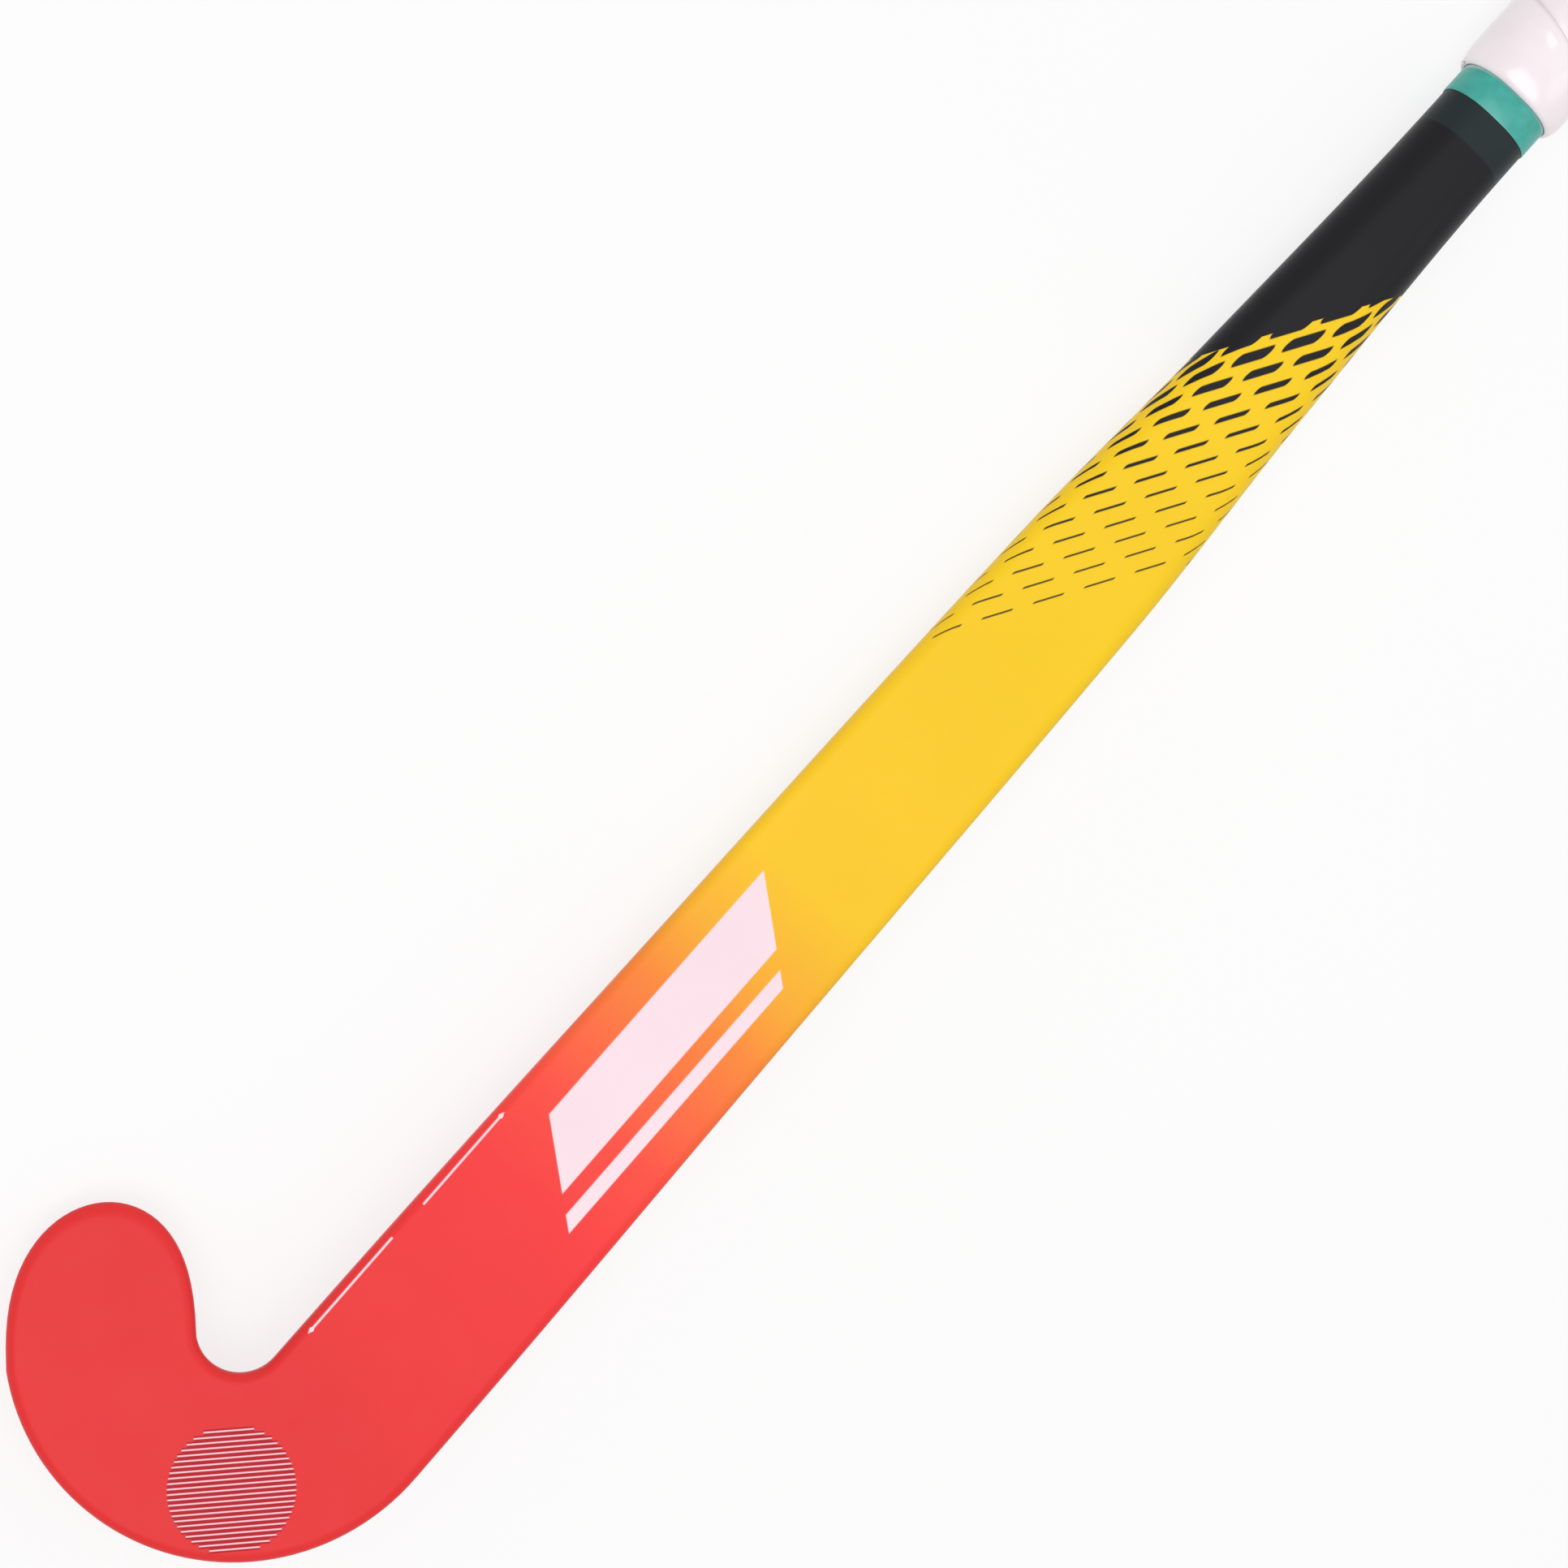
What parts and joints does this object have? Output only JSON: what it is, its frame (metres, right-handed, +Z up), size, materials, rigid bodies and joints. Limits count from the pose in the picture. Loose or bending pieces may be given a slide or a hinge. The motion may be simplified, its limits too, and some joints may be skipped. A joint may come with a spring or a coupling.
{
  "type": "field hockey stick",
  "caption": "Full-size composite field hockey stick with a hooked head, flat playing face, rounded back, bowed shaft and a spirally wound grip.",
  "frame": {"origin": "middle of the underside of the box round the stick, on the floor that it lies on", "axes": "+X from the head to the butt, +Z up off the floor with the flat playing face upwards, +Y to the toe side; the stick leans on its toe as it really lies, so its face is turned about 15 degrees from level"},
  "size_m": [0.9308, 0.115, 0.0469],
  "materials": {
    "printed_shell": "glossy clear coat over a printed yellow to red fade",
    "core_filler": "rigid filler",
    "carbon_ply": "carbon laminate",
    "glass_laminate": "bare glass laminate",
    "plug_plastic": "moulded",
    "cap_rubber": "moulded",
    "underlay_foam": "soft foam",
    "grip_strip": "soft polyurethane strip with a slight gloss",
    "collar_tape": "smooth tape"
  },
  "bodies": {
    "root": {"outer_shell": "printed_shell", "head_core": "core_filler", "face_ply": "carbon_ply", "back_ply": "carbon_ply", "toe_side_tube": "glass_laminate", "heel_side_tube": "glass_laminate", "handle_plug": "plug_plastic", "butt_cap": "cap_rubber", "grip_underlay": "underlay_foam", "grip_tape": "grip_strip", "grip_collar": "collar_tape"}
  },
  "joints": []
}
